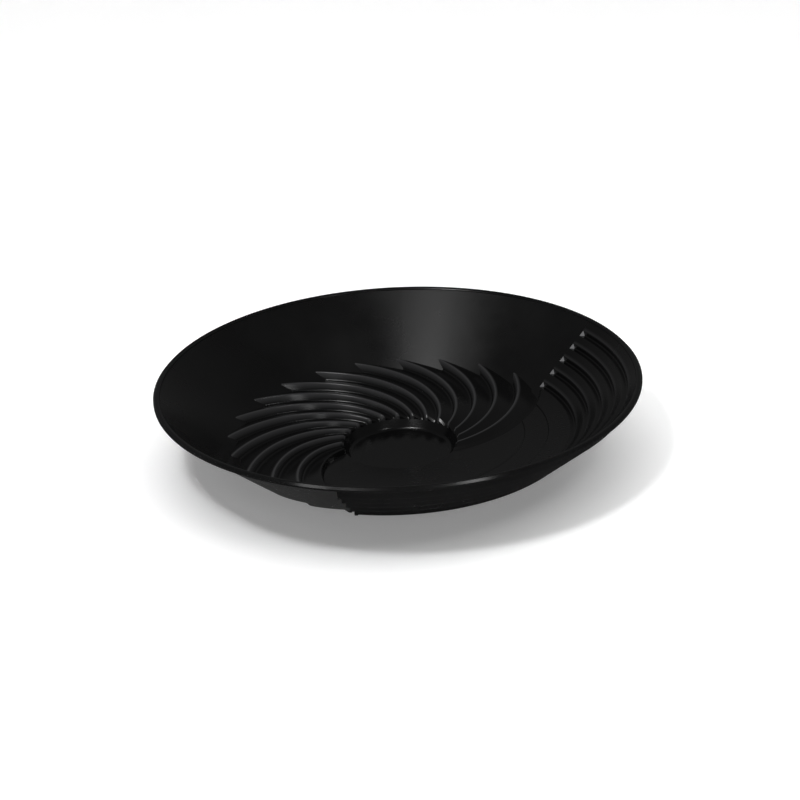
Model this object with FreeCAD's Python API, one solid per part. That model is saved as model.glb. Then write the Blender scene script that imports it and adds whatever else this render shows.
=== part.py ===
import FreeCAD, Part
import math
import os

# Moulded gold pan, millimetres.  Z is up and the origin is the centre of the underside of the trap floor.
# Bearings are degrees clockwise from the back (+Y) as seen from above; the front of the pan faces -Y.

# Overall sizes
rim_radius = 165.0
pan_height = 57.0
wall_thickness = 2.0
wall_slope = 40.0

# Rim lip
lip_width = 4.4
lip_depth = 3.0
lip_crown = 1.5
lip_chamfer = 0.75

# Trap, the round recess in the middle
trap_floor_radius = 35.0
trap_wall_run = 3.8
trap_lip_height = 8.2

# Spiral riffles
riffles_per_turn = 24
riffle_count = 15
riffle_sweep = 58.0
riffle_bow = 4.0
riffle_draft = 20.0
crest_inner_height = 12.3
crest_outer_height = 19.7
crest_bow = 1.0
riser_inner = 4.1
riser_outer = 6.2

# Plain ramp floor; its two shallow steps are placed from its outer edge, by distance and drop
ramp_outer_height = 18.076
ramp_step_distances = (31.0, 14.8)
ramp_step_drops = (4.276, 2.276)
ramp_step_rise = 1.0

# Coarse riffles in the wall
coarse_count = 5
coarse_notch_width = 3.8
coarse_top_land = 5.48
coarse_tread_fall = 10.0
coarse_draft = 3.0
coarse_start_bearing = 59.1

# Thickening along the two edges of the ramp, and the webs that close the ends of the coarse riffles
edge_width = 3.0
web_angle = 1.0

# Worked out from the sizes above
pitch_angle = 360.0 / riffles_per_turn
coarse_sweep = 360.0 - riffle_count * pitch_angle
coarse_end_bearing = coarse_start_bearing + coarse_sweep
slope = math.tan(math.radians(wall_slope))
tread_drop = math.tan(math.radians(coarse_tread_fall))
lip_inner_radius = rim_radius - lip_width
lip_inner_height = pan_height - lip_crown
wall_outset = wall_thickness / math.sin(math.radians(wall_slope))
trap_lip_radius = trap_floor_radius + trap_wall_run
ramp_outer_radius = lip_inner_radius - (lip_inner_height - ramp_outer_height) / slope
wall_width = lip_inner_radius - ramp_outer_radius
coarse_pitch = (wall_width - coarse_notch_width - coarse_top_land) / (coarse_count - 1)

# Room round the solids for the cuts, and the tolerance of the cuts
field_top = crest_outer_height + 0.3
low = -5.0
high = pan_height
seam_margin = 1.0
inner_margin = 3.0
outer_margin = 6.0
stations = 9
fuzz = 0.0001


def wall_radius(z):
    """Radius of the wall's inner face at height z."""
    return lip_inner_radius - (lip_inner_height - z) / slope


def wall_height(r):
    """Height of the wall's inner face at radius r."""
    return lip_inner_height - (lip_inner_radius - r) * slope


def spin(points, start, sweep):
    """Solid of a radius-height outline swept clockwise about Z, from one bearing through an angle."""
    corners = [FreeCAD.Vector(0, r, z) for r, z in points]
    face = Part.Face(Part.makePolygon(corners + corners[:1]))
    return turn(face, start).revolve(FreeCAD.Vector(), FreeCAD.Vector(0, 0, -1), sweep)


def turn(shape, angle):
    """Copy of a shape turned clockwise about Z."""
    copy = shape.copy()
    copy.rotate(FreeCAD.Vector(), FreeCAD.Vector(0, 0, 1), -angle)
    return copy


def plain(shape):
    """The one solid of a shape, or the shape itself when it holds several."""
    return shape.Solids[0] if len(shape.Solids) == 1 else shape


def within(shape, tool):
    """The part of a shape inside a tool."""
    return plain(shape.common([tool], fuzz))


def carve(shape, tools):
    """Shape less each tool that reaches into it."""
    for tool in tools:
        if within(shape, tool).Volume > 0.0:
            shape = plain(shape.cut([tool], fuzz))
    return shape


def offset(points, distance):
    """Mitred offset of an open outline towards its underside."""
    lines = []
    for (r0, z0), (r1, z1) in zip(points, points[1:]):
        length = math.hypot(r1 - r0, z1 - z0)
        lines.append(((z1 - z0) / length, -(r1 - r0) / length))
    result = [(points[0][0] + distance * lines[0][0], points[0][1] + distance * lines[0][1])]
    for (r, z), before, after in zip(points[1:], lines, lines[1:]):
        reach = distance / (1.0 + before[0] * after[0] + before[1] * after[1])
        result.append((r + reach * (before[0] + after[0]), z + reach * (before[1] + after[1])))
    last = points[-1]
    result.append((last[0] + distance * lines[-1][0], last[1] + distance * lines[-1][1]))
    return result


# Spiral riffles

def share(r):
    """Place of radius r between the trap lip and the foot of the wall, from 0 to 1."""
    return (r - trap_lip_radius) / (wall_radius(crest_outer_height) - trap_lip_radius)


def crest_height(r):
    u = share(r)
    rise = crest_outer_height - crest_inner_height
    return crest_inner_height + rise * u + 4.0 * crest_bow * u * (1.0 - u)


def riser_height(r):
    return riser_inner + (riser_outer - riser_inner) * share(r)


def twist(r):
    """Bearing lost by a riffle between the trap lip and radius r."""
    u = share(r)
    return riffle_sweep * u + riffle_bow * u * (1.0 - u)


def field_bearing():
    """Bearing at the trap lip of the foot of the riffle that ends the field."""
    return coarse_start_bearing + twist(ramp_outer_radius)


def first_bearing():
    """Bearing at the trap lip of the foot of the first riffle."""
    return field_bearing() - riffle_count * pitch_angle


def section(r):
    """Points across one riffle pitch at radius r, as (distance along the pitch, height)."""
    chord = 2.0 * r * math.sin(math.radians(pitch_angle / 2.0))
    step = 0.01
    lean = math.radians((twist(r + step) - twist(r - step)) / (2.0 * step)) * r
    stretch = math.hypot(1.0, lean)
    height = riser_height(r)
    draft = math.radians(riffle_draft)
    run = height * math.tan(draft)
    fall = math.atan(height / (chord / stretch - run))
    det = math.sin(fall) * math.sin(draft) + math.cos(fall) * math.cos(draft)
    across = wall_thickness * (math.cos(fall) - math.sin(draft)) / det * stretch
    down = wall_thickness * (math.sin(fall) + math.cos(draft)) / det
    top = crest_height(r)
    foot = top - height
    return {
        "foot": (0.0, foot),
        "crest": (run * stretch, top),
        "next_foot": (chord, foot),
        "next_under": (chord, foot - wall_thickness / math.cos(fall)),
        "crest_under": (run * stretch + across, top - down),
        "foot_under": (across, foot - down),
        "seam_under": (0.0, foot - wall_thickness / math.cos(fall)),
        "chord": chord,
        "run": run * stretch,
    }


def pitch_loft(outline):
    """Solid through stations along one riffle pitch; outline gives the points across the pitch."""
    wires = []
    first_station = trap_lip_radius - inner_margin
    last_station = wall_radius(field_top) + wall_outset + outer_margin
    for i in range(stations):
        r = first_station + i * (last_station - first_station) / (stations - 1)
        bearing = math.radians(-twist(r))
        along = math.radians(pitch_angle / 2.0) + bearing
        corners = []
        for distance, z in outline(section(r)):
            x = r * math.sin(bearing) + distance * math.cos(along)
            y = r * math.cos(bearing) - distance * math.sin(along)
            corners.append(FreeCAD.Vector(x, y, z))
        wires.append(Part.makePolygon(corners + corners[:1]))
    return Part.makeLoft(wires, True, False)


def column_outline(s):
    return [(0.0, low), (0.0, field_top), (s["chord"], field_top), (s["chord"], low)]


def above_outline(s):
    """Air over a riffle; it runs past both seams so that only the column sets them."""
    left, right = -seam_margin, s["chord"] + seam_margin
    return [(left, s["foot"][1]), s["foot"], s["crest"], s["next_foot"], (right, s["foot"][1]),
            (right, high), (left, high)]


def under_outline(s):
    """Air under a riffle."""
    left, right = -seam_margin, s["chord"] + seam_margin
    seam = s["seam_under"][1]
    return [(left, seam), s["seam_under"], s["foot_under"], s["crest_under"], s["next_under"], (right, seam),
            (right, 2.0 * low), (left, 2.0 * low)]


def far_edge_outline(s):
    """Thick edge of the ramp behind the last groove, with its own riser."""
    foot = s["foot"][1]
    return [(0.0, s["seam_under"][1]), (0.0, foot), (s["run"], s["crest"][1]),
            (s["run"] + edge_width, s["crest"][1]), (s["run"] + edge_width, s["seam_under"][1])]


def near_edge_outline(s):
    """Thick edge of the ramp in front of the first riser."""
    return [(s["chord"] - edge_width, s["next_under"][1]), (s["chord"] - edge_width, field_top),
            (s["chord"], field_top), (s["chord"], s["next_under"][1])]


def wedge_outline(s):
    """Space between a riser and an upright plane through its foot."""
    return [s["foot"], s["crest"], (0.0, s["crest"][1])]


def far_slab_outline(s):
    """Room of the ramp's edge behind the last groove, from a little before its seam."""
    left, right = -seam_margin, s["run"] + edge_width
    return [(left, low), (left, field_top), (right, field_top), (right, low)]


def near_slab_outline(s):
    """Room of the ramp's edge in front of the first riser, to a little past its seam."""
    left, right = s["chord"] - edge_width, s["chord"] + seam_margin
    return [(left, low), (left, field_top), (right, field_top), (right, low)]


def inner_cone():
    return spin([(0, low), (wall_radius(low), low), (wall_radius(high), high), (0, high)], 0, 360)


def field_ring():
    """Room of the riffle field, with a sill at the trap that closes the inner ends of the riffles."""
    sill = trap_wall_outline()[3][1]
    inside = trap_lip_radius + wall_thickness
    outline = [(trap_lip_radius, sill), (inside, sill), (inside, low), (wall_radius(low) + wall_outset, low),
               (wall_radius(field_top) + wall_outset, field_top), (trap_lip_radius, field_top)]
    return spin(outline, 0, 360)


def riffle(column, kept=None):
    """One riffle of constant wall; kept is a space over it that stays filled."""
    above = within(pitch_loft(above_outline), inner_cone())
    if kept:
        above = carve(above, [kept])
    sill = Part.makeCylinder(trap_lip_radius + wall_thickness, 2.0 * high, FreeCAD.Vector(0, 0, -high))
    under = carve(pitch_loft(under_outline), [sill])
    return carve(within(column, field_ring()), [above, under])


# Outlines of the turned regions

def trap_wall_outline():
    top = (trap_lip_radius, trap_lip_height)
    bottom = (trap_floor_radius, wall_thickness)
    rise = top[1] - bottom[1]
    length = math.hypot(trap_wall_run, rise)
    edge = wall_thickness * length / trap_wall_run
    foot = wall_thickness * length / rise
    foot_radius = bottom[0] + foot - wall_thickness * trap_wall_run / rise
    return [(trap_floor_radius, 0.0), bottom, top, (trap_lip_radius, top[1] - edge), (foot_radius, 0.0)]


def ramp_points():
    """Top line of the ramp, from the trap lip to its outer edge."""
    points = [(trap_lip_radius, trap_lip_height)]
    for distance, drop in zip(ramp_step_distances, ramp_step_drops):
        r, z = ramp_outer_radius - distance, ramp_outer_height - drop
        points.append((r, z))
        points.append((r + ramp_step_rise * math.tan(math.radians(coarse_draft)), z + ramp_step_rise))
    points.append((ramp_outer_radius, ramp_outer_height))
    return points


def coarse_points():
    """Stepped line of the coarse riffles, from the ramp's outer edge to the lip."""
    points = []
    for k in range(coarse_count):
        start = ramp_outer_radius + k * coarse_pitch
        crest = start + coarse_notch_width
        rise = coarse_notch_width * (slope + tread_drop)
        foot = crest - rise * math.tan(math.radians(coarse_draft))
        points.append((start, wall_height(start)))
        points.append((foot, wall_height(start) - (foot - start) * tread_drop))
        points.append((crest, wall_height(crest)))
    points.append((lip_inner_radius, lip_inner_height))
    return points


def full_profile():
    """Top and under lines of the ramp and the coarse riffles, and the point where the two meet."""
    ramp = ramp_points()
    top = ramp + coarse_points()[1:]
    under = offset(top, wall_thickness)
    under[0] = (trap_lip_radius, trap_lip_height - wall_thickness)
    return top, under, len(ramp) - 1


def stretch_between(top, under, first, last):
    return top[first:last + 1] + under[first:last + 1][::-1]


# Nodes

def rim_lip():
    inner = (lip_inner_radius, lip_inner_height)
    under = (lip_inner_radius + wall_thickness * math.sin(math.radians(wall_slope)),
             lip_inner_height - wall_thickness * math.cos(math.radians(wall_slope)))
    bottom = pan_height - lip_depth

    def at(r, z):
        return FreeCAD.Vector(0, r, z)
    middle = (inner[0] + rim_radius) / 2.0
    edges = [
        Part.Arc(at(*inner), at(middle, pan_height), at(rim_radius, lip_inner_height)).toShape(),
        Part.makeLine(at(rim_radius, lip_inner_height), at(rim_radius, bottom + lip_chamfer)),
        Part.makeLine(at(rim_radius, bottom + lip_chamfer), at(rim_radius - lip_chamfer, bottom)),
        Part.makeLine(at(rim_radius - lip_chamfer, bottom), at(*under)),
        Part.makeLine(at(*under), at(*inner)),
    ]
    face = Part.Face(Part.Wire(edges))
    return face.revolve(FreeCAD.Vector(), FreeCAD.Vector(0, 0, 1), 360)


def spiral_riffles(column, below_ramp):
    """The riffles; the first one's riser is filled up to the ramp, which it stands beside."""
    top, under, seat = full_profile()
    gate = [top[seat], under[seat], (under[seat][0], low), (rim_radius, low), (rim_radius, high),
            (top[seat][0], high)]
    gate = spin(gate, coarse_start_bearing, coarse_sweep)
    common_riffle = riffle(column)
    first_riffle = riffle(column, within(pitch_loft(wedge_outline), below_ramp))
    nodes = {}
    for i in range(riffle_count):
        piece = turn(common_riffle if i else first_riffle, first_bearing() + i * pitch_angle)
        if i in (0, riffle_count - 1):
            piece = carve(piece, [gate])
        nodes["spiral_riffle_%02d" % (i + 1)] = piece
    return nodes


def ramp_floor(columns, below_ramp):
    """The ramp in three steps between the last riffle and the first, and its two thick edges."""
    top, under, seat = full_profile()
    sweep = 360.0 + first_bearing() - coarse_start_bearing
    far_edge = turn(pitch_loft(far_edge_outline), field_bearing())
    near_edge = turn(pitch_loft(near_edge_outline), first_bearing() - pitch_angle)
    slabs = [turn(pitch_loft(far_slab_outline), field_bearing()),
             turn(pitch_loft(near_slab_outline), first_bearing() - pitch_angle)]
    ring = field_ring()
    nodes = {}
    for k, name in enumerate(("ramp_lower", "ramp_middle", "ramp_upper")):
        outline = stretch_between(top, under, 2 * k, min(2 * k + 2, seat))
        step = spin(outline, coarse_start_bearing, sweep)
        nodes[name] = carve(step, columns + slabs)
    nodes["ramp_edge_right"] = within(within(far_edge, below_ramp), ring)
    nodes["ramp_edge_left"] = within(within(near_edge, below_ramp), ring)
    return nodes


def coarse_riffles():
    top, under, seat = full_profile()
    nodes = {}
    for k in range(coarse_count):
        at = seat + 3 * k
        outline = stretch_between(top, under, at, at + 3)
        nodes["coarse_riffle_%d" % (k + 1)] = spin(outline, coarse_start_bearing, coarse_sweep)
    return nodes


def end_webs(last_column, neighbours):
    """Webs that close the two stepped ends of the coarse riffles."""
    top, under, seat = full_profile()
    ends = [top[seat], top[-1]] + under[seat:][::-1]
    upper = spin([(0, field_top), (rim_radius, field_top), (rim_radius, high), (0, high)], 0, 360)
    right = within(spin(ends, coarse_start_bearing - web_angle, web_angle), upper)
    corner = spin(ends, coarse_start_bearing - pitch_angle / 2.0, pitch_angle / 2.0)
    right = right.fuse(carve(corner, [upper, last_column])).removeSplitter()
    start = ramp_outer_radius + wall_thickness / 2.0
    start_under = under[seat][1] - (start - under[seat][0]) * tread_drop
    ends = [(start, wall_height(start)), top[-1]] + under[seat + 1:][::-1] + [(start, start_under)]
    left = carve(spin(ends, coarse_end_bearing, web_angle), neighbours)
    return {"end_web_right": right, "end_web_left": left}


def smooth_wall(webs):
    wall = [(wall_radius(field_top), field_top), (lip_inner_radius, lip_inner_height)]
    outer = [(wall[0][0] + wall_outset, field_top), offset(wall, wall_thickness)[1]]
    sheet = spin(wall + outer[::-1], coarse_end_bearing, 360 - coarse_sweep)
    return carve(sheet, webs)


def build():
    top, under, seat = full_profile()
    column = pitch_loft(column_outline)
    below_ramp = spin(ramp_points() + [under[seat], (under[seat][0], low), (trap_lip_radius, low)], 0, 360)
    reach = math.ceil(twist(ramp_outer_radius) / pitch_angle) + 1
    columns = [turn(column, field_bearing() - (i + 1) * pitch_angle) for i in range(reach)]
    columns += [turn(column, first_bearing() + i * pitch_angle) for i in range(reach)]
    nodes = spiral_riffles(column, below_ramp)
    nodes.update(ramp_floor(columns, below_ramp))
    nodes.update(coarse_riffles())
    webs = end_webs(columns[0], [nodes["spiral_riffle_01"], nodes["spiral_riffle_02"]])
    nodes.update(webs)
    nodes["smooth_wall"] = smooth_wall(list(webs.values()))
    nodes["rim_lip"] = rim_lip()
    nodes["trap_wall"] = spin(trap_wall_outline(), 0, 360)
    nodes["trap_floor"] = Part.makeCylinder(trap_floor_radius, wall_thickness)
    return nodes


def main():
    os.makedirs("parts", exist_ok=True)
    for name, shape in build().items():
        shape = plain(shape)
        shape.exportStep("parts/%s.step" % name)
        print("%-18s solids %d valid %s volume %8.1f" % (
            name, len(shape.Solids), shape.isValid(), shape.Volume))


main()
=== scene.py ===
import bpy
import math
from mathutils import Matrix, Vector


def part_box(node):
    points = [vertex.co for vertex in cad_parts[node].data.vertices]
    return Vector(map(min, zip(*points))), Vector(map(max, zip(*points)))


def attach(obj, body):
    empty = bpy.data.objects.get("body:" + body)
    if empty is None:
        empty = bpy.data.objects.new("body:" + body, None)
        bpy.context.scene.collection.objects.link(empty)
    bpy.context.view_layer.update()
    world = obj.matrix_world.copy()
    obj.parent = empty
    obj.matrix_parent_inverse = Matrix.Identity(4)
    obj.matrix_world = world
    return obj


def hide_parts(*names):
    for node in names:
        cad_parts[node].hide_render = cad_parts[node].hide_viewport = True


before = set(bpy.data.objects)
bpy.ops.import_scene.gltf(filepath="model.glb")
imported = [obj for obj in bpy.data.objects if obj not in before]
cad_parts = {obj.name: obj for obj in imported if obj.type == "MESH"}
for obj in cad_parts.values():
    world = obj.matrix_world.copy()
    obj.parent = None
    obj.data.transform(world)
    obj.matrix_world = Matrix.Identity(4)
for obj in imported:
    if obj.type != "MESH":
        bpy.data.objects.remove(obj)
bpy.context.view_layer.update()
rimLow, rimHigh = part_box("rim_lip")
floorLow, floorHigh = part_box("trap_floor")
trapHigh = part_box("trap_wall")[1]

# The pan's own sizes, metres; the frame gives all but the last three
pan = {
    "rimRadius": rimHigh[0],
    "rimDepth": rimHigh[2] - rimLow[2],
    "height": rimHigh[2],
    "wall": floorHigh[2] - floorLow[2],
    "trapFloor": floorHigh[0],
    "trapLip": trapHigh[0],
    "trapLipHeight": trapHigh[2],
    "lipWidth": 0.0044,
    "lipCrown": 0.0015,
    "slope": math.tan(math.radians(40)),
}
lipInner = pan["rimRadius"] - pan["lipWidth"]
lipInnerHeight = pan["height"] - pan["lipCrown"]
wallSine = math.sin(math.atan(pan["slope"]))
wallCosine = math.cos(math.atan(pan["slope"]))


def wallHeight(r):
    return lipInnerHeight - (lipInner - r) * pan["slope"]


def wallRadius(z):
    return lipInner - (lipInnerHeight - z) / pan["slope"]


def mix(a, b, t):
    return a + (b - a) * t


def spot(r, bearing, z):
    # bearing in degrees, clockwise from the back as seen from above
    angle = math.radians(bearing)
    return Vector((r * math.sin(angle), r * math.cos(angle), z))


# Modelling helpers

meshing = {
    "merge": 0.000002,
    "dissolve": 0.000001,
    "smoothAngle": 38,
    "sideShare": 0.48,      # most of a side that one rounded corner may take
    "facingUp": 0.9,        # a face whose normal rises at least this much is a top face
}


def deselectAll():
    if bpy.context.object and bpy.context.object.mode != "OBJECT":
        bpy.ops.object.mode_set(mode="OBJECT")
    bpy.ops.object.select_all(action="DESELECT")


def finishPiece(piece, smoothAngle=meshing["smoothAngle"]):
    # outward normals, smooth shading with crisp corners, and the body it belongs to
    deselectAll()
    piece.select_set(True)
    bpy.context.view_layer.objects.active = piece
    bpy.ops.object.mode_set(mode="EDIT")
    bpy.ops.mesh.select_all(action="SELECT")
    bpy.ops.mesh.remove_doubles(threshold=meshing["merge"])
    bpy.ops.mesh.dissolve_degenerate(threshold=meshing["dissolve"])
    bpy.ops.mesh.normals_make_consistent(inside=False)
    bpy.ops.object.mode_set(mode="OBJECT")
    bpy.ops.object.shade_smooth_by_angle(angle=math.radians(smoothAngle))
    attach(piece, "root")


def shell(name, columns, rows, place, wearAndGlint=None):
    # a flat grid is thickened by one extrude, then each point goes where place(column, row, under) says
    deselectAll()
    bpy.ops.mesh.primitive_grid_add(x_subdivisions=columns - 1, y_subdivisions=rows - 1, size=1)
    piece = bpy.context.object
    piece.name = piece.data.name = name
    bpy.ops.object.mode_set(mode="EDIT")
    bpy.ops.mesh.select_all(action="SELECT")
    bpy.ops.mesh.extrude_region_move(TRANSFORM_OT_translate={"value": (0, 0, -1)})
    bpy.ops.object.mode_set(mode="OBJECT")
    layer = piece.data.attributes.new("wearAndGlint", "FLOAT", "POINT") if wearAndGlint else None
    for vert in piece.data.vertices:
        column = round((vert.co.x + 0.5) * (columns - 1))
        row = round((vert.co.y + 0.5) * (rows - 1))
        under = vert.co.z < -0.5
        if layer:
            layer.data[vert.index].value = 0.0 if under else wearAndGlint(column, row)
        vert.co = place(column, row, under)
    piece.data.update()
    return piece


def turnedCopy(piece, name, degrees):
    # a copy with its own mesh, turned clockwise as seen from above
    deselectAll()
    piece.select_set(True)
    bpy.context.view_layer.objects.active = piece
    bpy.ops.object.duplicate(linked=False)
    twin = bpy.context.object
    twin.name = twin.data.name = name
    twin.data.transform(Matrix.Rotation(math.radians(-degrees), 4, "Z"))
    twin.data.update()
    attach(twin, "root")
    return twin


def turnedRing(name, profile, segments):
    # a circle is extruded and scaled once for each point of a closed outline of (radius, height)
    deselectAll()
    bpy.ops.mesh.primitive_circle_add(vertices=segments, radius=profile[0][0], location=(0, 0, 0))
    piece = bpy.context.object
    piece.name = piece.data.name = name
    bpy.ops.object.mode_set(mode="EDIT")
    bpy.ops.mesh.select_all(action="SELECT")
    bpy.ops.transform.translate(value=(0, 0, profile[0][1]))
    for (r0, z0), (r1, z1) in zip(profile, profile[1:] + profile[:1]):
        bpy.ops.mesh.extrude_edges_move(TRANSFORM_OT_translate={"value": (0, 0, z1 - z0)})
        bpy.ops.transform.resize(value=(r1 / r0, r1 / r0, 1), center_override=(0, 0, 0))
    bpy.ops.object.mode_set(mode="OBJECT")
    return piece


def rounded(points, radii, steps):
    # each inner corner of the outline becomes an arc of its own radius, always steps + 1 points long
    result = [points[0]]
    for (p, q, s), radius in zip(zip(points, points[1:], points[2:]), radii):
        a = Vector((p[0] - q[0], p[1] - q[1]))
        b = Vector((s[0] - q[0], s[1] - q[1]))
        room = meshing["sideShare"] * min(a.length, b.length)
        a.normalize()
        b.normalize()
        half = 0.5 * math.acos(max(-1.0, min(1.0, a.dot(b))))
        reach = min(radius / math.tan(half), room)
        radius = reach * math.tan(half)
        middle = Vector(q) + (a + b).normalized() * (radius / math.sin(half))
        start = Vector(q) + a * reach - middle
        end = Vector(q) + b * reach - middle
        turn = start.angle_signed(end) if start.length > 0 else 0.0
        for k in range(steps + 1):
            angle = -turn * k / steps
            c, d = math.cos(angle), math.sin(angle)
            result.append((middle.x + start.x * c - start.y * d, middle.y + start.x * d + start.y * c))
    return result + [points[-1]]


def subdivided(p, q, count):
    # points strictly between p and q
    shares = [k / (count + 1) for k in range(1, count + 1)]
    return [(mix(p[0], q[0], t), mix(p[1], q[1], t)) for t in shares]


# Finishes: moulded black polypropylene, with faint cloudiness, fine grain, hairline scuffs
# and polished, paler worn edges; the end facets of the coarse riffles get a pale painted glint

texture = {
    "cloudScale": 22,
    "cloudDetail": 5,
    "darkTint": (0.75, 0.75, 0.78),         # of the finish's tone, where the cloudiness is lowest
    "lightTint": (1.3, 1.3, 1.33),
    "tintRange": (0.35, 0.7),
    "grainScale": 900,
    "grainDetail": 3,
    "grainHeight": 0.0001,
    "scuffStretch": (18, 240, 60),
    "scuffTurn": (0.2, 0.1, 0.7),
    "scuffScale": 3,
    "scuffDetail": 6,
    "scuffRoughness": 0.7,
    "scuffRange": (0.62, 0.8),
    "scuffDepth": -0.2,
    "roughRange": (0.3, 0.75),
    "roughSpread": (-0.05, 0.07),
    "wearAndGlintBlue": 1.03,
    "ior": 1.49,
}


def noise(tree, source, scale, detail):
    node = tree.nodes.new("ShaderNodeTexNoise")
    node.inputs["Scale"].default_value = scale
    node.inputs["Detail"].default_value = detail
    tree.links.new(source, node.inputs["Vector"])
    return node


def ranged(tree, source, limits, results=(0.0, 1.0)):
    node = tree.nodes.new("ShaderNodeMapRange")
    node.inputs["From Min"].default_value, node.inputs["From Max"].default_value = limits
    node.inputs["To Min"].default_value, node.inputs["To Max"].default_value = results
    tree.links.new(source, node.inputs["Value"])
    return node.outputs["Result"]


def scaledSum(tree, source, factor, other):
    node = tree.nodes.new("ShaderNodeMath")
    node.operation = "MULTIPLY_ADD"
    tree.links.new(source, node.inputs[0])
    node.inputs[1].default_value = factor
    tree.links.new(other, node.inputs[2])
    return node.outputs["Value"]


def scuffs(tree, source):
    stretch = tree.nodes.new("ShaderNodeMapping")
    stretch.inputs["Scale"].default_value = texture["scuffStretch"]
    stretch.inputs["Rotation"].default_value = texture["scuffTurn"]
    tree.links.new(source, stretch.inputs["Vector"])
    hair = noise(tree, stretch.outputs["Vector"], texture["scuffScale"], texture["scuffDetail"])
    hair.inputs["Roughness"].default_value = texture["scuffRoughness"]
    return ranged(tree, hair.outputs["Fac"], texture["scuffRange"])


def cloudedTone(tree, cloud, tone):
    tint = tree.nodes.new("ShaderNodeValToRGB")
    for stop, place, shade in zip(tint.color_ramp.elements, texture["tintRange"],
                                  (texture["darkTint"], texture["lightTint"])):
        stop.position = place
        stop.color = [tone * part for part in shade] + [1]
    tree.links.new(cloud, tint.inputs["Fac"])
    return tint.outputs["Color"]


def wearAndGlintColour(tree, colour, wearAndGlint, paleWearAndGlint):
    # the piece's own wear attribute says where its edges are worn pale; on the end facets it marks a painted
    # glint, pale colour standing in for a highlight
    edge = tree.nodes.new("ShaderNodeAttribute")
    edge.attribute_name = "wearAndGlint"
    wearAndGlintAmount = tree.nodes.new("ShaderNodeMath")
    wearAndGlintAmount.operation = "MULTIPLY"
    tree.links.new(edge.outputs["Fac"], wearAndGlintAmount.inputs[0])
    wearAndGlintAmount.inputs[1].default_value = wearAndGlint
    blend = tree.nodes.new("ShaderNodeMix")
    blend.data_type = "RGBA"
    tree.links.new(wearAndGlintAmount.outputs["Value"], blend.inputs["Factor"])
    tree.links.new(colour, blend.inputs["A"])
    blend.inputs["B"].default_value = (paleWearAndGlint, paleWearAndGlint, paleWearAndGlint * texture["wearAndGlintBlue"], 1)
    return blend.outputs["Result"]


def plastic(name, tone, roughness, scuff, grain, wearAndGlint=0.0, paleWearAndGlint=0.12):
    mat = bpy.data.materials.new(name)
    mat.use_nodes = True
    tree = mat.node_tree
    shader = tree.nodes["Principled BSDF"]
    place = tree.nodes.new("ShaderNodeTexCoord").outputs["Object"]
    cloud = noise(tree, place, texture["cloudScale"], texture["cloudDetail"]).outputs["Fac"]
    fine = noise(tree, place, texture["grainScale"], texture["grainDetail"]).outputs["Fac"]
    scratches = scuffs(tree, place)
    colour = cloudedTone(tree, cloud, tone)
    # pale worn edges, and the painted glint on the end facets
    if wearAndGlint:
        colour = wearAndGlintColour(tree, colour, wearAndGlint, paleWearAndGlint)
    tree.links.new(colour, shader.inputs["Base Color"])
    spread = [roughness + part for part in texture["roughSpread"]]
    rough = ranged(tree, cloud, texture["roughRange"], spread)
    tree.links.new(scaledSum(tree, scratches, scuff, rough), shader.inputs["Roughness"])
    bump = tree.nodes.new("ShaderNodeBump")
    bump.inputs["Strength"].default_value = grain
    bump.inputs["Distance"].default_value = texture["grainHeight"]
    tree.links.new(scaledSum(tree, scratches, texture["scuffDepth"], fine), bump.inputs["Height"])
    tree.links.new(bump.outputs["Normal"], shader.inputs["Normal"])
    shader.inputs["IOR"].default_value = texture["ior"]
    return mat


finishes = {
    # tone, roughness, how much scuffs roughen it, grain
    "riffle": plastic("riffleBlackPlastic", 0.006, 0.20, 0.10, 0.16, wearAndGlint=0.6),
    "wall": plastic("wallBlackPlastic", 0.006, 0.29, 0.06, 0.16),
    "coarse": plastic("coarseBlackPlastic", 0.006, 0.22, 0.06, 0.16, wearAndGlint=0.25),
    "floor": plastic("floorBlackPlastic", 0.006, 0.25, 0.12, 0.16),
    "trap": plastic("trapBlackPlastic", 0.0055, 0.19, 0.10, 0.12),
    "rim": plastic("rimBlackPlastic", 0.007, 0.18, 0.12, 0.14),
    # the end facets: a pale colour stands in for a glint, a painted highlight
    "facet": plastic("facetPaintedGlintPlastic", 0.006, 0.20, 0.10, 0.10, wearAndGlint=1.0, paleWearAndGlint=0.45),
}


def dress(piece, finish, slot, *nodes):
    piece.data.materials.clear()
    piece.data.materials.append(finishes[finish])
    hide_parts(*nodes)


# Spiral riffles

spiral = {
    "count": 15,
    "pitch": 15.0,          # degrees between riffles
    "sweep": 58.0,
    "bow": 4.0,
    "draft": 20.0,
    "crestInner": 0.0123,
    "crestOuter": 0.0197,
    "crestBow": 0.001,
    "riserInner": 0.0041,
    "riserOuter": 0.0062,
    "crestRound": 0.0009,
    "footRound": 0.0012,
    "underCrestRound": 0.0003,
    "underFootRound": 0.002,
    "endBevel": 0.0014,     # slant of the inner ends over the trap
    "endDrop": 0.0035,      # how far the inner ends reach below the lip of the trap
    "before": 0.3,          # share of the pitch that a piece takes ahead of its riser
    "firstLap": 0.0004,     # what the first riffle takes ahead of its riser
    "wallLap": 0.0003,      # how far the outer ends run on into the wall
    "wallSearch": (0.09, 0.13),
    "halvings": 30,
    "rampOuter": 0.116,
    "lastBearing": 59.1,    # bearing where the field ends at the wall
    "roundSteps": 4,
    "treadPoints": 5,
    "rows": 44,
    "endRows": 4,
}
draftRun = math.tan(math.radians(spiral["draft"]))
fieldSpan = wallRadius(spiral["crestOuter"]) - pan["trapLip"]


def twist(r):
    u = (r - pan["trapLip"]) / fieldSpan
    return spiral["sweep"] * u + spiral["bow"] * u * (1 - u)


# bearings at the trap lip where the field ends and starts
fieldEnd = spiral["lastBearing"] + twist(spiral["rampOuter"])
fieldStart = fieldEnd - spiral["count"] * spiral["pitch"]


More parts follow.
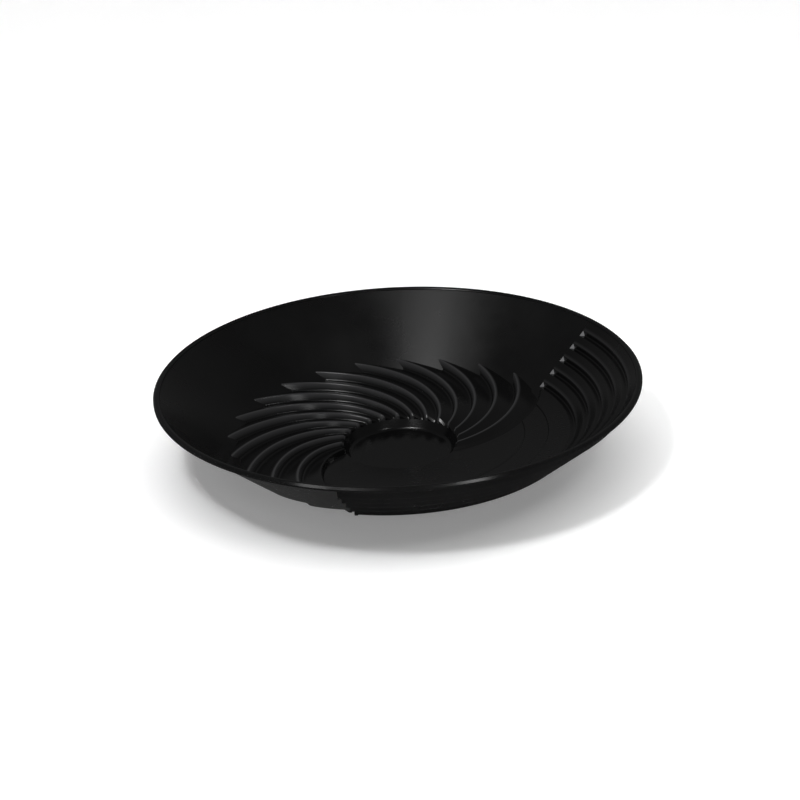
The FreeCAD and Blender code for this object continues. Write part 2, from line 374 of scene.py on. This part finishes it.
def across(r):
    # sizes of one pitch measured square to the riffle at radius r
    u = (r - pan["trapLip"]) / fieldSpan
    lean = r * math.radians(spiral["sweep"] + spiral["bow"] * (1 - 2 * u)) / fieldSpan
    stretch = math.hypot(1, lean)
    pitch = math.radians(spiral["pitch"]) * r / stretch
    rise = mix(spiral["riserInner"], spiral["riserOuter"], u)
    top = mix(spiral["crestInner"], spiral["crestOuter"], u) + 4 * spiral["crestBow"] * u * (1 - u)
    run = rise * draftRun
    return {"pitch": pitch, "stretch": stretch, "top": top, "foot": top - rise, "run": run,
            "fall": rise / (pitch - run)}


def mitre(fall):
    # shift from an upper corner to the one below it, for the wall thickness
    a, d = math.atan(fall), math.radians(spiral["draft"])
    det = math.sin(a) * math.sin(d) + math.cos(a) * math.cos(d)
    right = pan["wall"] * (math.cos(a) - math.sin(d)) / det
    down = pan["wall"] * (math.sin(a) + math.cos(d)) / det
    return right, -down


def treadStart(s):
    # where a piece begins, part way down the tread before its riser
    ahead = spiral["before"] * s["pitch"]
    return -ahead, s["foot"] + ahead * s["fall"]


def riffleSection(r, under, first=False):
    # (distance square to the riffle, height) across one piece
    s = across(r)
    start = treadStart(s)
    foot, crest = (0.0, s["foot"]), (s["run"], s["top"])
    end = ((1 - spiral["before"]) * s["pitch"], start[1])
    if first:
        start = (-spiral["firstLap"], s["foot"])
    radii = (spiral["footRound"], spiral["crestRound"])
    if under:
        dx, dz = mitre(s["fall"])
        down = pan["wall"] * math.hypot(1, s["fall"])
        start, end = (start[0], start[1] - down), (end[0], end[1] - down)
        foot, crest = (foot[0] + dx, foot[1] + dz), (crest[0] + dx, crest[1] + dz)
        radii = (spiral["underFootRound"], spiral["underCrestRound"])
    outline = rounded([start, foot, crest, end], radii, spiral["roundSteps"])
    ahead = outline[:1] + subdivided(outline[0], outline[1], 1)
    tread = subdivided(outline[-2], outline[-1], spiral["treadPoints"])
    return ahead + outline[1:-1] + tread + outline[-1:]


# lines of the section: its start and one more, the foot's arc, the crest's arc, the tread
sectionCount = len(riffleSection(pan["trapLip"], False))
footLine = 2 + spiral["roundSteps"] // 2
crestLines = range(spiral["roundSteps"] + 3, 2 * spiral["roundSteps"] + 4)


def meetsWall(k, first=False):
    # radius where line k along a riffle runs into the wall
    low, high = spiral["wallSearch"]
    for _ in range(spiral["halvings"]):
        middle = (low + high) / 2
        if riffleSection(middle, False, first)[k][1] > wallHeight(middle):
            low = middle
        else:
            high = middle
    return low


def riffleStation(row, outer):
    # radius of a row and how far it lies below the surface, for the rounded inner end
    bevel, lip = spiral["endBevel"], pan["trapLip"]
    if row == 0:
        return lip, 0.0
    if row <= spiral["endRows"]:
        t = (row - 1) / (spiral["endRows"] - 1)
        return lip + bevel * t, bevel * (1 - t)
    t = (row - spiral["endRows"]) / (spiral["rows"] - 1 - spiral["endRows"])
    return mix(lip + bevel, outer, t), 0.0


def sectionSpot(r, k, under, bearing, first=False):
    distance, z = riffleSection(r, under, first)[k]
    return bearing - twist(r) + math.degrees(distance * across(r)["stretch"] / r), z


def spiralRiffle(index):
    bearing = fieldStart + index * spiral["pitch"]
    first = index == 0
    outers = [meetsWall(k, first) + spiral["wallLap"] for k in range(sectionCount)]
    sill = pan["trapLipHeight"] - spiral["endDrop"]

    def place(k, row, under):
        r, drop = riffleStation(row, outers[k])
        if under:
            r = max(r, pan["trapLip"] + pan["wall"])
        angle, z = sectionSpot(r, k, under, bearing, first)
        if row == 0:
            z = sill
        elif under and row <= spiral["endRows"]:
            z = min(z, mix(sill, z, row / spiral["endRows"]))
        elif not under:
            z -= drop
        return spot(r, angle, z)

    def wearAndGlint(k, row):
        return 1.0 if k in crestLines and not first else 0.0

    piece = shell("spiralRiffle_%02d" % (index + 1), sectionCount, spiral["rows"], place, wearAndGlint)
    finishPiece(piece)
    return piece


def spiralField():
    # the first riffle has no tread before it; the second is the pattern for all the others
    riffles = [spiralRiffle(0), spiralRiffle(1)]
    for index in range(2, spiral["count"]):
        name = "spiralRiffle_%02d" % (index + 1)
        riffles.append(turnedCopy(riffles[1], name, (index - 1) * spiral["pitch"]))
    for number, riffle in enumerate(riffles, 1):
        dress(riffle, "riffle", "riffle_plastic", "spiral_riffle_%02d" % number)


spiralField()
print("spiral riffles done")


# Smooth wall

smoothWall = {
    "rows": 26,
    "columnsPerPitch": 12,
    "lowRadius": 0.111,     # where the lowest corners between the riffles lie
    "inset": 0.02,          # degrees kept clear at each side of a riffle's foot
    "overlap": 1.1,         # wall thicknesses that the lower edge reaches under the riffles
    "seam": 0.001,          # degrees from the coarse riffles to the last full column
    "lap": 0.05,            # degrees that the low strip starts past the coarse riffles' start
}
coarseStart = spiral["lastBearing"]
coarseEnd = coarseStart + 360 - spiral["count"] * spiral["pitch"]


def treadAtWall(k, bearing):
    return sectionSpot(meetsWall(k), k, False, bearing)


def wallFoot():
    # bearings round the smooth wall and how low its lower edge reaches at each, under the riffles' ends
    stations = []
    lowest = across(smoothWall["lowRadius"])["foot"]
    for index in range(spiral["count"]):
        bearing = fieldStart + index * spiral["pitch"]
        nextFoot = treadAtWall(footLine, bearing + spiral["pitch"])[0]
        ownFoot = treadAtWall(footLine, bearing)[0] if index else coarseEnd - 360
        crest = treadAtWall(crestLines[-1], bearing)
        for c in range(smoothWall["columnsPerPitch"] + 1):
            share = c / smoothWall["columnsPerPitch"]
            b = mix(ownFoot + smoothWall["inset"], nextFoot - smoothWall["inset"], share)
            t = min(1.0, max(0.0, (b - crest[0]) / (nextFoot - crest[0])))
            stations.append((b, mix(crest[1], lowest, t) - pan["wall"] * smoothWall["overlap"]))
    return stations


def smoothWallPiece():
    stations = wallFoot()
    kept = [s for s in stations if s[0] < coarseStart]
    tail = [s for s in stations if s[0] > coarseStart + smoothWall["lap"]]
    low = kept[-1][1]
    stations = kept + [(coarseStart - smoothWall["seam"], low), (coarseStart + smoothWall["lap"], low)] + tail
    rows = smoothWall["rows"]

    def place(c, row, under):
        bearing, low = stations[c]
        top = lipInnerHeight if bearing < coarseStart else wallHeight(spiral["rampOuter"])
        share = row / (rows - 1)
        z = mix(low, top, share)
        r = wallRadius(z)
        if under:  # level with the upper side at the foot, square to it at the rim
            r += mix(pan["wall"] / wallSine, pan["wall"] * wallSine, share)
            z -= pan["wall"] * wallCosine * share
        return spot(r, bearing, z)

    piece = shell("smoothWall", len(stations), rows, place)
    finishPiece(piece)
    dress(piece, "wall", "wall_plastic", "smooth_wall")


smoothWallPiece()
print("smooth wall done")


# Coarse riffles in the wall

coarse = {
    "count": 5,
    "pitch": 0.00883,
    "notch": 0.0038,
    "treadFall": math.tan(math.radians(10)),
    "draft": math.tan(math.radians(3)),
    "footRound": 0.0007,
    "crestRound": 0.0006,
    "edgeRound": 0.0006,
    "underFootRound": 0.0013,
    "underCrestRound": 0.0004,
    "underEdgeRound": 0.0005,
    "roundSteps": 3,
    "segments": 108,
    "longRun": 0.0012,      # a side longer than this gets more rows
    "moreRows": 2,
    "wornWithin": 0.0006,
}
web = {
    "columns": 7,
    "width": 1.0,           # degrees
    "facetStart": -0.1,     # degrees from the end bearing to the upper edge of an end facet
    "facetLean": 0.9,       # degrees that its lowest corner comes forward
    "facetTurned": 0.3,     # a face turned along the wall and up at least this much is a facet, and gets the painted glint
    "facetUp": 0.2,
    "smoothAngle": 20,
}


def coarseProfile():
    points = []
    for k in range(coarse["count"]):
        start = spiral["rampOuter"] + k * coarse["pitch"]
        crest = start + coarse["notch"]
        rise = coarse["notch"] * (pan["slope"] + coarse["treadFall"])
        foot = crest - rise * coarse["draft"]
        points += [(start, wallHeight(start)),
                   (foot, wallHeight(start) - (foot - start) * coarse["treadFall"]),
                   (crest, wallHeight(crest))]
    return points + [(lipInner, lipInnerHeight)]


def offsetDown(points):
    # the same outline one wall thickness below
    lines = []
    for (r0, z0), (r1, z1) in zip(points, points[1:]):
        length = math.hypot(r1 - r0, z1 - z0)
        lines.append(((z1 - z0) / length, -(r1 - r0) / length))
    result = [(points[0][0] + pan["wall"] * lines[0][0], points[0][1] + pan["wall"] * lines[0][1])]
    for (r, z), a, b in zip(points[1:], lines, lines[1:]):
        reach = pan["wall"] / (1 + a[0] * b[0] + a[1] * b[1])
        result.append((r + reach * (a[0] + b[0]), z + reach * (a[1] + b[1])))
    result.append((points[-1][0] + pan["wall"] * lines[-1][0], points[-1][1] + pan["wall"] * lines[-1][1]))
    return result


coarseTop = coarseProfile()
coarseUnder = offsetDown(coarseTop)


def coarseRounded(points, foot, crest, edge):
    radii = [(foot, crest, edge)[i % 3] for i in range(len(points) - 2)]
    return rounded(points, radii, coarse["roundSteps"])


coarseTopRound = coarseRounded(coarseTop, coarse["footRound"], coarse["crestRound"], coarse["edgeRound"])
coarseUnderRound = coarseRounded(coarseUnder, coarse["underFootRound"], coarse["underCrestRound"],
                                 coarse["underEdgeRound"])


def coarseSlice(index):
    # points of one riffle, from the edge of its notch to the edge of the next
    perCorner = coarse["roundSteps"] + 1
    start = 0 if index == 0 else 1 + (3 * index - 1) * perCorner + perCorner // 2
    stop = 1 + (3 * index + 2) * perCorner + perCorner // 2
    if index == coarse["count"] - 1:
        stop = len(coarseTopRound) - 1
    return start, stop


def coarseRiffle(index):
    start, stop = coarseSlice(index)
    top, under = [], []
    for a in range(start, stop):
        p, q = coarseTopRound[a], coarseTopRound[a + 1]
        s, t = coarseUnderRound[a], coarseUnderRound[a + 1]
        between = coarse["moreRows"] if math.hypot(q[0] - p[0], q[1] - p[1]) > coarse["longRun"] else 0
        top += [p] + subdivided(p, q, between)
        under += [s] + subdivided(s, t, between)
    top.append(coarseTopRound[stop])
    under.append(coarseUnderRound[stop])
    crest = coarseTop[3 * index + 2]

    def place(c, row, isUnder):
        r, z = (under if isUnder else top)[row]
        return spot(r, mix(coarseStart, coarseEnd, c / coarse["segments"]), z)

    def wearAndGlint(c, row):
        away = math.hypot(top[row][0] - crest[0], top[row][1] - crest[1])
        return 1.0 if away < coarse["wornWithin"] else 0.0

    piece = shell("coarseRiffle_%d" % (index + 1), coarse["segments"] + 1, len(top), place, wearAndGlint)
    finishPiece(piece)
    dress(piece, "coarse", "coarse_plastic", "coarse_riffle_%d" % (index + 1))


for index in range(coarse["count"]):
    coarseRiffle(index)
print("coarse riffles done")


def endWeb(name, node, bearing, side):
    # closes the stepped ends of the coarse riffles; each notch ends in one small flat facet that leans back,
    # coloured pale as a painted glint
    last = web["columns"] - 1
    middle = web["columns"] // 2

    def place(c, row, under):
        if under:
            r, z = coarseUnder[row]
            return spot(r, bearing + side * mix(-web["width"], 0.0, c / last), z)
        r, z = coarseTop[row]
        if c <= middle:
            return spot(r, bearing + side * mix(-web["width"], web["facetStart"], c / middle), wallHeight(r))
        lean = web["facetLean"] if row % 3 == 1 else 0.0  # only the foot of each notch comes forward
        t = (c - middle) / (last - middle)
        return spot(r, bearing + side * (web["facetStart"] + lean * t), mix(wallHeight(r), z, t))

    piece = shell(name, web["columns"], len(coarseTop), place)
    finishPiece(piece, web["smoothAngle"])
    paintedGlint = piece.data.attributes.new("wearAndGlint", "FLOAT", "FACE")  # painted glint: facets turned along the wall and up are coloured pale, standing in for a highlight
    for face in piece.data.polygons:
        along = Vector((face.center.y, -face.center.x, 0)).normalized()
        turned = abs(face.normal.dot(along)) > web["facetTurned"]
        paintedGlint.data[face.index].value = 1.0 if turned and face.normal.z > web["facetUp"] else 0.0
    dress(piece, "facet", "coarse_plastic", node)


endWeb("endWebRight", "end_web_right", coarseStart, 1)
endWeb("endWebLeft", "end_web_left", coarseEnd, -1)
print("end webs done")


# Ramp

ramp = {
    "stepRadii": (0.085, 0.1012),
    "stepHeights": (0.0138, 0.0158),
    "stepRise": 0.001,
    "stepRun": 0.0003,
    "stepRound": 0.0004,
    "stepSteps": 2,
    "wallLap": 0.0002,      # how far the floor runs on into the wall
    "rowGap": 0.0025,
    "columns": 90,
    "footRound": 0.0008,
    "crestRound": 0.0006,
    "lead": 0.004,          # floor beyond the right edge before the even columns start
    "crestRun": 0.0001,
    "speck": 0.00001,       # keeps the rounded edge from closing up where the riser runs out
    "wallZone": 0.1095,     # past this radius the right edge stays just under the wall
    "underWall": 0.0004,
    "lastLap": 0.0004,      # how far the floor runs into the first riffle's riser
    "thickness": 1.03,      # in wall thicknesses, measured straight down
    "smoothAngle": 50,
}


def rampProfile():
    points = [(pan["trapLip"], pan["trapLipHeight"])]
    for r, z in zip(ramp["stepRadii"], ramp["stepHeights"]):
        points += [(r, z), (r + ramp["stepRun"], z + ramp["stepRise"])]
    return points + [(spiral["rampOuter"] + ramp["wallLap"], wallHeight(spiral["rampOuter"]))]


def rampRows():
    line = rounded(rampProfile(), [ramp["stepRound"]] * 4, ramp["stepSteps"])
    rows = []
    for p, q in zip(line, line[1:]):
        rows += [p] + subdivided(p, q, int((q[0] - p[0]) / ramp["rowGap"]))
    return rows + line[-1:]


def rampEdge(s, level, riser):
    # across the right edge, from the tread of the last riffle up to the floor
    foot, crest = (0.0, s["foot"]), (riser * draftRun + ramp["crestRun"], level + ramp["speck"])
    most = riser / 3 + ramp["speck"]
    radii = (min(ramp["footRound"], most), min(ramp["crestRound"], most))
    corners = [treadStart(s), foot, crest, (crest[0] + ramp["lead"], level)]
    outline = rounded(corners, radii, spiral["roundSteps"])
    return outline[:1] + subdivided(outline[0], outline[1], 1) + outline[1:-1]


def rampPiece():
    rows = rampRows()
    edgeCount = 2 * spiral["roundSteps"] + 4
    count = edgeCount + ramp["columns"]

    def place(c, row, under):
        r, level = rows[row]
        s = across(r)
        riser = max(0.0, level - s["foot"])
        edge = rampEdge(s, level, riser)
        perMetre = math.degrees(s["stretch"] / r)  # degrees round the pan for one metre square to the riffles
        distance, z = edge[min(c, edgeCount - 1)]
        bearing = fieldEnd - twist(r) + distance * perMetre
        if c < edgeCount:
            if r > ramp["wallZone"]:
                z = max(z, min(level, wallHeight(r) - ramp["underWall"]))
        else:
            far = fieldStart + 360 - twist(r) + (riser * draftRun + ramp["lastLap"]) * perMetre
            bearing, z = mix(bearing, far, (c - edgeCount + 1) / (count - edgeCount)), level
        if under:
            z -= pan["wall"] * ramp["thickness"]
        return spot(r, bearing, z)

    piece = shell("rampFloor", count, len(rows), place)
    finishPiece(piece, ramp["smoothAngle"])
    dress(piece, "floor", "floor_plastic", "ramp_lower", "ramp_middle", "ramp_upper",
          "ramp_edge_right", "ramp_edge_left")


rampPiece()
print("ramp done")


# Trap

trap = {
    "footRound": 0.003,
    "footSteps": 8,
    "ringIn": 0.009,        # how far the fillet ring reaches in over the flat floor
    "dish": 0.00005,        # the flat middle has sunk this much in cooling
    "discEdge": 0.0006,
    "dishEdge": 0.009,
    "lap": 0.0004,          # how far the lip runs on under the riffles and the ramp
    "lapDrop": 0.0001,
    "footBevel": (0.0004, 0.0005),
    "segments": 240,
}


def trapRing():
    wall, lip, floor = pan["wall"], pan["trapLip"], pan["trapFloor"]
    run, rise = lip - floor, pan["trapLipHeight"] - wall
    length = math.hypot(run, rise)
    inner = floor - trap["ringIn"]
    top = rounded([(inner, wall), (floor, wall), (lip, pan["trapLipHeight"])], [trap["footRound"]],
                  trap["footSteps"])
    foot = floor + wall * length / rise - wall * run / rise
    bevelIn, bevelUp = trap["footBevel"]
    outer = lip + trap["lap"]
    outline = top + [(outer, pan["trapLipHeight"] - trap["lapDrop"]),
                     (outer, pan["trapLipHeight"] - wall * length / run + trap["lap"]),
                     (foot, bevelUp), (foot - bevelIn, 0.0), (inner, 0.0)]
    ring = turnedRing("trapWall", outline, trap["segments"])
    finishPiece(ring)
    dress(ring, "trap", "trap_plastic", "trap_wall")


def trapDisc():
    deselectAll()
    bpy.ops.mesh.primitive_cylinder_add(vertices=trap["segments"], radius=pan["trapFloor"] - trap["ringIn"],
                                        depth=pan["wall"], location=(0, 0, pan["wall"] / 2))
    disc = bpy.context.object
    disc.name = disc.data.name = "trapFloor"
    bpy.ops.object.transform_apply(location=True)
    bpy.ops.object.mode_set(mode="EDIT")
    bpy.ops.mesh.select_all(action="SELECT")
    bpy.ops.mesh.normals_make_consistent(inside=False)
    bpy.ops.object.mode_set(mode="OBJECT")
    for face in disc.data.polygons:
        face.select = face.normal.z > meshing["facingUp"]
    bpy.ops.object.mode_set(mode="EDIT")
    bpy.ops.mesh.inset(thickness=trap["discEdge"])
    bpy.ops.mesh.inset(thickness=trap["dishEdge"], depth=-trap["dish"])
    bpy.ops.object.mode_set(mode="OBJECT")
    finishPiece(disc)
    dress(disc, "trap", "trap_plastic", "trap_floor")


trapRing()
trapDisc()


# Rim

rim = {
    "crownParts": 14,       # of these only the first ones are followed,
    "crownKept": 10,        # and the rest of the crown, outwards, is one flat bevel
    "crownShape": 0.8,
    "skirtRound": 0.0009,
    "skirtSteps": 4,
    "skirtLift": 0.0001,
    "wallLap": (0.0006, 0.0004),    # how far the inner edge runs on down into the wall
    "segments": 360,
    "smoothAngle": 21,
}


def rimPiece():
    outer = pan["rimRadius"]
    bottom = pan["height"] - pan["rimDepth"]
    under = (lipInner + pan["wall"] * wallSine, lipInnerHeight - pan["wall"] * wallCosine)
    crown = []
    for k in range(rim["crownKept"]):
        angle = math.pi * (1 - k / rim["crownParts"])
        crown.append(((lipInner + outer) / 2 + (outer - lipInner) / 2 * math.cos(angle),
                      lipInnerHeight + pan["lipCrown"] * math.sin(angle) ** rim["crownShape"]))
    skirt = rounded([(outer, lipInnerHeight), (outer, bottom), (under[0], bottom + rim["skirtLift"])],
                    [rim["skirtRound"]], rim["skirtSteps"])
    lapIn, lapUp = rim["wallLap"]
    ring = turnedRing("rimLip", crown + skirt + [(under[0] - lapIn, under[1] + lapUp)], rim["segments"])
    finishPiece(ring, rim["smoothAngle"])
    dress(ring, "rim", "rim_plastic", "rim_lip")


rimPiece()
print("trap and rim done")


# Pale floor and soft light

setting = {
    "floorSize": 30,        # metres
    "floorTone": 0.9,
    "floorRoughness": 0.9,
    "floorSpecular": 0.1,
    "floorGlow": 0.22,
    "washEnergy": 2.0,
    "washSpread": 75,       # degrees
    "washTilt": (-10, 14, 0),
    "worldGlow": 0.08,
    "lightDistance": 1.8,
    "lightAim": (0, 0, 0.02),
}
lights = {
    # name: (degrees round from the front towards the right, degrees up, side in metres, watts)
    "leftKey": (-40, 60, 0.28, 6.5),
    "leftMiddle": (-48, 46, 0.3, 0.7),
    "leftLow": (-30, 33, 0.25, 0.4),
    "streak": (-50, 76, 0.45, 1.2),
    "rightKey": (38, 50, 0.25, 1.2),
    "lensSide": (12, 30, 0.2, 0.5),
}


def paleFloor():
    deselectAll()
    bpy.ops.mesh.primitive_plane_add(size=setting["floorSize"], location=(0, 0, 0))
    floor = bpy.context.object
    floor.name = "studioFloor"
    paper = bpy.data.materials.new("palePaper")
    paper.use_nodes = True
    sheet = paper.node_tree.nodes["Principled BSDF"].inputs
    sheet["Base Color"].default_value = [setting["floorTone"]] * 3 + [1]
    sheet["Roughness"].default_value = setting["floorRoughness"]
    sheet["Specular IOR Level"].default_value = setting["floorSpecular"]
    sheet["Emission Color"].default_value = (1, 1, 1, 1)
    sheet["Emission Strength"].default_value = setting["floorGlow"]
    floor.data.materials.append(paper)
    floor.visible_glossy = False  # the dark underside keeps clear of the white of the floor
    return floor


def addLamp(name, kind):
    data = bpy.data.lights.new(name, kind)
    lamp = bpy.data.objects.new(name, data)
    bpy.context.scene.collection.objects.link(lamp)
    return lamp


def floorWash(floor):
    # a broad sun that lights the floor and not the pan
    lamp = addLamp("floorWash", "SUN")
    lamp.data.energy = setting["washEnergy"]
    lamp.data.angle = math.radians(setting["washSpread"])
    lamp.rotation_euler = [math.radians(part) for part in setting["washTilt"]]
    onlyFloor = bpy.data.collections.new("floorOnly")
    onlyFloor.objects.link(floor)
    lamp.light_linking.receiver_collection = onlyFloor


def softLight(name, around, up, size, power):
    lamp = addLamp(name, "AREA")
    lamp.data.shape = "SQUARE"
    lamp.data.size = size
    lamp.data.energy = power
    a, e = math.radians(around), math.radians(up)
    away = Vector((math.sin(a) * math.cos(e), -math.cos(a) * math.cos(e), math.sin(e)))
    lamp.location = away * setting["lightDistance"]
    aim = Vector(setting["lightAim"]) - lamp.location
    lamp.rotation_euler = aim.to_track_quat("-Z", "Y").to_euler()


def studio():
    floorWash(paleFloor())
    world = bpy.data.worlds.new("studioWorld")
    world.use_nodes = True
    world.node_tree.nodes["Background"].inputs["Color"].default_value = (1, 1, 1, 1)
    world.node_tree.nodes["Background"].inputs["Strength"].default_value = setting["worldGlow"]
    bpy.context.scene.world = world
    for name, values in lights.items():
        softLight(name, *values)


studio()


# Camera, low in front, leaning a little

view = {
    "sensor": 36,
    "lens": 108.0,
    "clip": (0.01, 100),
    "elevation": 24.22,
    "roll": -2.88,
    "distance": 9.831,      # in rim radii
    "aimRight": -0.067,     # degrees from the middle of the frame to the middle of the rim
    "aimUp": 0.525,
}


def camera():
    data = bpy.data.cameras.new("camera")
    data.sensor_width = view["sensor"]
    data.lens = view["lens"]
    data.clip_start, data.clip_end = view["clip"]
    item = bpy.data.objects.new("camera", data)
    bpy.context.scene.collection.objects.link(item)
    e = math.radians(view["elevation"])
    right, up = math.radians(view["aimRight"]), math.radians(view["aimUp"])
    aim = Vector((math.tan(right), math.tan(up), -1)).normalized()
    level = Matrix(((1, 0, 0), (0, math.sin(e), math.cos(e)), (0, -math.cos(e), math.sin(e))))
    swing = Vector((0, 0, -1)).rotation_difference(aim).to_matrix()
    roll = Matrix.Rotation(math.radians(view["roll"]), 3, aim)
    turn = (roll @ swing @ level).transposed()
    centre = Vector((0, 0, pan["height"]))
    ahead = Vector((0, math.cos(e), -math.sin(e)))
    place = centre - ahead * view["distance"] * pan["rimRadius"]
    item.matrix_world = Matrix.Translation(place) @ turn.to_4x4()
    bpy.context.scene.camera = item


camera()
bpy.context.scene.view_settings.view_transform = "Standard"
deselectAll()
print("studio and camera done")
